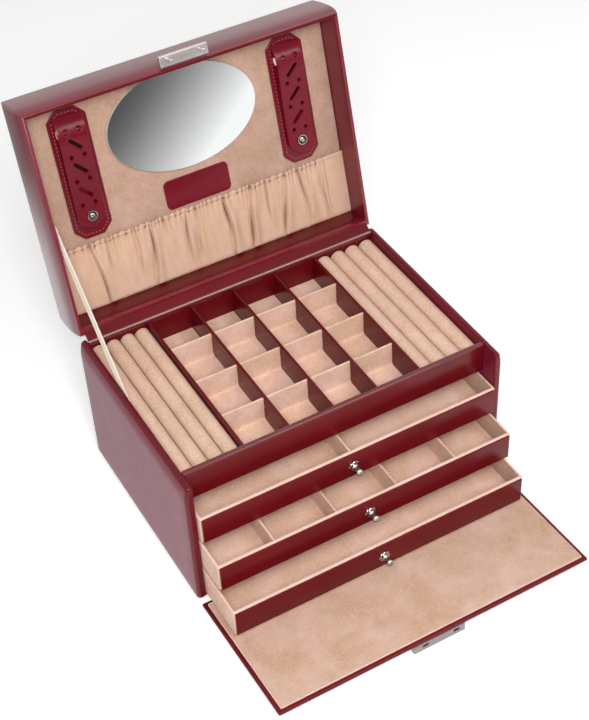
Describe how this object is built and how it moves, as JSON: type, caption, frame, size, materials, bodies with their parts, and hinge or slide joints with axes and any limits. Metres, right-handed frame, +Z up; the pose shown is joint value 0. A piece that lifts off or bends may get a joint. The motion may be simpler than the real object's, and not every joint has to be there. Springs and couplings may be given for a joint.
{
  "type": "leather jewellery case",
  "caption": "Leather jewellery case with a mirrored lid on a ribbon stay, earring straps, divided ring tray, and sliding drawers behind a drop-down locking flap.",
  "frame": {"origin": "centre of the case's footprint on the table, on the plinth's underside", "axes": "X along the front, the front faces -Y, Z up"},
  "size_m": [0.29, 0.4307, 0.3425],
  "materials": {
    "burgundy_leather": "smooth semi-gloss",
    "beige_suede": "matt napped suede",
    "beige_cloth": "matt gathered cloth",
    "cream_ribbon": "plain woven ribbon",
    "polished_nickel": "polished",
    "plain_steel": "plain",
    "mirror_glass": "bevelled edge"
  },
  "bodies": {
    "case": {"plinth": "burgundy_leather", "base_board": "burgundy_leather", "left_side_panel": "burgundy_leather", "right_side_panel": "burgundy_leather", "back_panel": "burgundy_leather", "lower_shelf": "beige_suede", "upper_shelf": "beige_suede", "tray_deck": "beige_suede", "tray_front_rail": "burgundy_leather", "tray_partitions": "burgundy_leather", "cell_floor_1": "beige_suede", "cell_floor_2": "beige_suede", "cell_floor_3": "beige_suede", "cell_floor_4": "beige_suede", "cross_dividers_1": "beige_suede", "cross_dividers_2": "beige_suede", "cross_dividers_3": "beige_suede", "cross_dividers_4": "beige_suede", "ring_rolls_left": "beige_suede", "ring_rolls_right": "beige_suede", "lid_hinge_case_leaves": "plain_steel", "hinge_pins": "plain_steel", "flap_hinge_case_leaves": "plain_steel", "hinge_strip": "burgundy_leather", "ribbon_stay": "cream_ribbon"},
    "lid": {"lid_shell": "burgundy_leather", "lid_lining": "beige_suede", "mirror": "mirror_glass", "label_patch": "burgundy_leather", "lid_pocket": "beige_cloth", "strap_plate_left": "burgundy_leather", "strap_plate_right": "burgundy_leather", "strap_mount_left": "burgundy_leather", "strap_mount_right": "burgundy_leather", "lid_hinge_lid_leaves": "plain_steel", "lock_hook_plate": "polished_nickel"},
    "strap_left": {"strap_left": "burgundy_leather", "stud_cap_left": "polished_nickel"},
    "strap_right": {"strap_right": "burgundy_leather", "stud_cap_right": "polished_nickel"},
    "lock_bolt": {"lock_bolt": "polished_nickel"},
    "key_barrel": {"key_barrel": "polished_nickel"},
    "flap": {"flap_board": "burgundy_leather", "flap_inlay": "beige_suede", "flap_hinge_flap_leaves": "plain_steel", "catch_box": "polished_nickel"},
    "drawer_low": {"drawer_low_box": "beige_suede", "drawer_low_front": "burgundy_leather", "drawer_low_rosette": "polished_nickel", "drawer_low_knob": "polished_nickel"},
    "drawer_mid": {"drawer_mid_box": "beige_suede", "drawer_mid_front": "burgundy_leather", "drawer_mid_rosette": "polished_nickel", "drawer_mid_knob": "polished_nickel", "drawer_mid_dividers": "beige_suede"},
    "drawer_top": {"drawer_top_box": "beige_suede", "drawer_top_front": "burgundy_leather", "drawer_top_rosette": "polished_nickel", "drawer_top_knob": "polished_nickel", "drawer_top_dividers": "beige_suede"}
  },
  "joints": [
    {"name": "lid_hinge", "type": "hinge", "parent": "case", "child": "lid", "pos_m": [0, 0.1004, 0.13765], "axis": [-1, 0, 0], "range_deg": [-104.2, 0], "deforming": ["ribbon_stay", "hinge_strip"]},
    {"name": "strap_left_lift", "type": "hinge", "parent": "lid", "child": "strap_left", "pos_m": [-0.1005, 0.16927, 0.3026], "axis": [-1, 0, 0], "range_deg": [0, 85]},
    {"name": "strap_right_lift", "type": "hinge", "parent": "lid", "child": "strap_right", "pos_m": [0.1005, 0.16927, 0.3026], "axis": [-1, 0, 0], "range_deg": [0, 85]},
    {"name": "key_turn", "type": "hinge", "parent": "flap", "child": "key_barrel", "pos_m": [0, -0.22259, 0.00039], "axis": [0, -0.0589, -0.9983], "range_deg": [0, 90]},
    {"name": "bolt_slide", "type": "slide", "parent": "flap", "child": "lock_bolt", "axis": [-1, 0, 0], "range_m": [0, 0.0027]},
    {"name": "flap_hinge", "type": "hinge", "parent": "case", "child": "flap", "pos_m": [0, -0.1003, 0.0052], "axis": [1, 0, 0], "range_deg": [-2, 0]},
    {"name": "drawer_low_slide", "type": "slide", "parent": "case", "child": "drawer_low", "axis": [0, -1, 0], "range_m": [-0.0661, 0.0219]},
    {"name": "drawer_mid_slide", "type": "slide", "parent": "case", "child": "drawer_mid", "axis": [0, -1, 0], "range_m": [-0.0451, 0.0649]},
    {"name": "drawer_top_slide", "type": "slide", "parent": "case", "child": "drawer_top", "axis": [0, -1, 0], "range_m": [-0.0204, 0.0896]}
  ],
  "couplings": [
    {"joint": "key_turn", "follows": "bolt_slide", "rad_per_m": 581.77}
  ]
}
